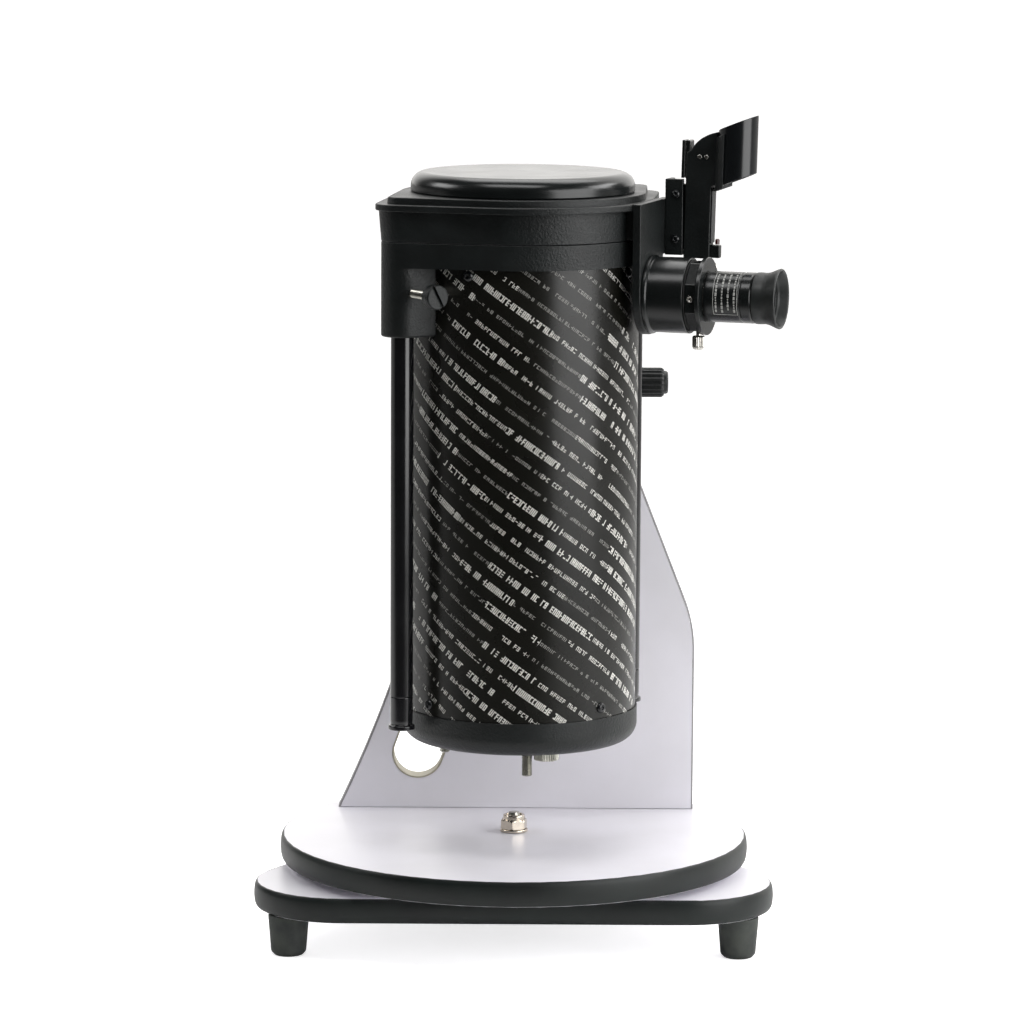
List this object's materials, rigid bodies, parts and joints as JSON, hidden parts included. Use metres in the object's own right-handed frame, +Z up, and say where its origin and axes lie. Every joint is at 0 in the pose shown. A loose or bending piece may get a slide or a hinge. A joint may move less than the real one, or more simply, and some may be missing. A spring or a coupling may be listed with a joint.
{
  "type": "dobsonian telescope",
  "caption": "Tabletop collapsible reflector telescope: tube with sliding truss cage on a single-arm turntable base, with focuser, eyepiece, red dot finder and dust cap.",
  "frame": {"origin": "on the surface it stands on, below the middle of the object's footprint", "axes": "+Z up along the tube as it stands, +X to the focuser's side, -Y away from the side arm"},
  "size_m": [0.3663, 0.3774, 0.5816],
  "materials": {
    "white_laminate": "white melamine-faced board, satin",
    "edging_black": "soft black edging",
    "rubber_black": "matte black rubber",
    "edge_grey": "grey edge band",
    "grip_cream": "cream liner",
    "nylon_white": "white nylon",
    "zinc_steel": "zinc plated steel",
    "chrome": "bright chrome plate",
    "tube_wrap": "black tube with a printed dash pattern",
    "textured_plastic": "fine-textured black plastic",
    "rod_black": "gloss black rod",
    "gloss_black": "gloss black plastic",
    "anodised_black": "black anodised aluminium",
    "cap_plastic": "satin black moulded cap",
    "cast_grey": "grey cast aluminium",
    "mirror_coating": "aluminised front surface",
    "lens_glass": "coated optical glass",
    "led_red": "red lens",
    "felt": "black felt"
  },
  "bodies": {
    "base": {"ground_board": "white_laminate", "ground_board_edging": "edging_black", "rubber_foot_1": "rubber_black", "rubber_foot_2": "rubber_black", "rubber_foot_3": "rubber_black", "glide_pad_1": "nylon_white", "glide_pad_2": "nylon_white", "glide_pad_3": "nylon_white", "azimuth_bolt": "zinc_steel", "azimuth_washer": "zinc_steel", "azimuth_nut": "zinc_steel"},
    "turntable": {"turntable_board": "white_laminate", "turntable_edging": "edging_black", "side_arm": "white_laminate", "side_arm_edging": "edge_grey", "grip_hole_liner": "grip_cream", "altitude_friction_pad": "nylon_white"},
    "tube": {"altitude_flange": "textured_plastic", "altitude_bolt": "zinc_steel", "saddle": "cast_grey", "saddle_jaw": "cast_grey", "dovetail_bar": "anodised_black", "lower_tube": "tube_wrap", "mirror_cell": "textured_plastic", "mirror_support": "cast_grey", "primary_mirror": "mirror_coating", "mirror_retainer": "rubber_black", "lower_ring": "textured_plastic"},
    "tension_knob": {"altitude_tension_knob": "textured_plastic"},
    "clamp_knob": {"saddle_clamp_knob": "textured_plastic"},
    "collimator_1": {"collimation_knob_1": "zinc_steel"},
    "collimator_2": {"collimation_knob_2": "zinc_steel"},
    "collimator_3": {"collimation_knob_3": "zinc_steel"},
    "truss_lock_left": {"truss_lock_screw_left": "gloss_black"},
    "truss_lock_right": {"truss_lock_screw_right": "gloss_black"},
    "cage": {"truss_rod_left": "rod_black", "truss_rod_right": "rod_black", "rod_plug_left": "textured_plastic", "rod_plug_right": "textured_plastic", "upper_ring": "textured_plastic", "spider_vane": "anodised_black", "secondary_holder": "anodised_black", "secondary_mirror": "mirror_coating", "focuser_plate": "textured_plastic", "focuser_housing": "textured_plastic", "finder_bracket": "textured_plastic", "finder_body": "textured_plastic", "finder_hood": "gloss_black", "finder_lens": "lens_glass", "finder_led": "led_red"},
    "finder_switch": {"finder_switch_dial": "gloss_black"},
    "focus_ring": {"focuser_felt_ring": "felt"},
    "drawtube": {"focuser_drawtube": "textured_plastic"},
    "eyepiece_clamp_1": {"eyepiece_screw_1": "chrome"},
    "eyepiece_clamp_2": {"eyepiece_screw_2": "chrome"},
    "eyepiece": {"eyepiece_barrel": "chrome", "eyepiece_body": "anodised_black", "eyecup": "rubber_black", "eyepiece_lens": "lens_glass"},
    "cap": {"dust_cap": "cap_plastic"}
  },
  "joints": [
    {"name": "azimuth_turn", "type": "hinge", "parent": "base", "child": "turntable", "pos_m": [-0.0023, -0.0237, 0.0695], "axis": [0, 0, 1], "continuous": true},
    {"name": "altitude_tilt", "type": "hinge", "parent": "turntable", "child": "tube", "pos_m": [0.0013, 0.0553, 0.3845], "axis": [0, -1, 0], "range_deg": [0, 90]},
    {"name": "tension_knob_turn", "type": "hinge", "parent": "tube", "child": "tension_knob", "pos_m": [0.0013, 0.0723, 0.3845], "axis": [0, -1, 0], "range_deg": [0, 180]},
    {"name": "clamp_knob_turn", "type": "hinge", "parent": "tube", "child": "clamp_knob", "pos_m": [0.0453, 0.0303, 0.3845], "axis": [1, 0, 0], "range_deg": [0, 360]},
    {"name": "truss_slide", "type": "slide", "parent": "tube", "child": "cage", "axis": [0, 0, 1], "range_m": [0, 0.24]},
    {"name": "truss_lock_left_turn", "type": "hinge", "parent": "tube", "child": "truss_lock_left", "pos_m": [-0.07991, -0.12564, 0.464], "axis": [0.5388, -0.8425, 0], "range_deg": [0, 360]},
    {"name": "truss_lock_right_turn", "type": "hinge", "parent": "tube", "child": "truss_lock_right", "pos_m": [0.07798, -0.01528, 0.464], "axis": [-0.606, 0.7955, 0], "range_deg": [0, 360]},
    {"name": "collimation_knob_1_turn", "type": "hinge", "parent": "tube", "child": "collimator_1", "pos_m": [0.01961, -0.12873, 0.145], "axis": [0, 0, -1], "range_deg": [0, 360]},
    {"name": "collimation_knob_2_turn", "type": "hinge", "parent": "tube", "child": "collimator_2", "pos_m": [0.03981, -0.03033, 0.145], "axis": [0, 0, -1], "range_deg": [0, 360]},
    {"name": "collimation_knob_3_turn", "type": "hinge", "parent": "tube", "child": "collimator_3", "pos_m": [-0.05552, -0.06204, 0.145], "axis": [0, 0, -1], "range_deg": [0, 360]},
    {"name": "finder_switch_turn", "type": "hinge", "parent": "cage", "child": "finder_switch", "pos_m": [0.12381, -0.07019, 0.50278], "axis": [0.309, 0.9511, 0], "range_deg": [0, 270]},
    {"name": "focus_turn", "type": "hinge", "parent": "cage", "child": "focus_ring", "pos_m": [0.11733, -0.1114, 0.461], "axis": [0.9511, -0.309, 0], "range_deg": [0, 720]},
    {"name": "drawtube_travel", "type": "slide", "parent": "cage", "child": "drawtube", "axis": [0.9511, -0.309, 0], "range_m": [0, 0.02]},
    {"name": "eyepiece_screw_1_turn", "type": "hinge", "parent": "drawtube", "child": "eyepiece_clamp_1", "pos_m": [0.12151, -0.11276, 0.461], "axis": [0, 0, -1], "range_deg": [0, 360]},
    {"name": "eyepiece_screw_2_turn", "type": "hinge", "parent": "drawtube", "child": "eyepiece_clamp_2", "pos_m": [0.12151, -0.11276, 0.461], "axis": [0.2676, 0.8236, 0.5], "range_deg": [0, 360]},
    {"name": "eyepiece_pull", "type": "slide", "parent": "drawtube", "child": "eyepiece", "axis": [0.9511, -0.309, 0], "range_m": [0, 0.045]},
    {"name": "dust_cap_lift", "type": "slide", "parent": "cage", "child": "cap", "axis": [0, 0, 1], "range_m": [0, 0.06]}
  ],
  "couplings": [
    {"joint": "focus_turn", "follows": "drawtube_travel", "rad_per_m": 628.31}
  ]
}
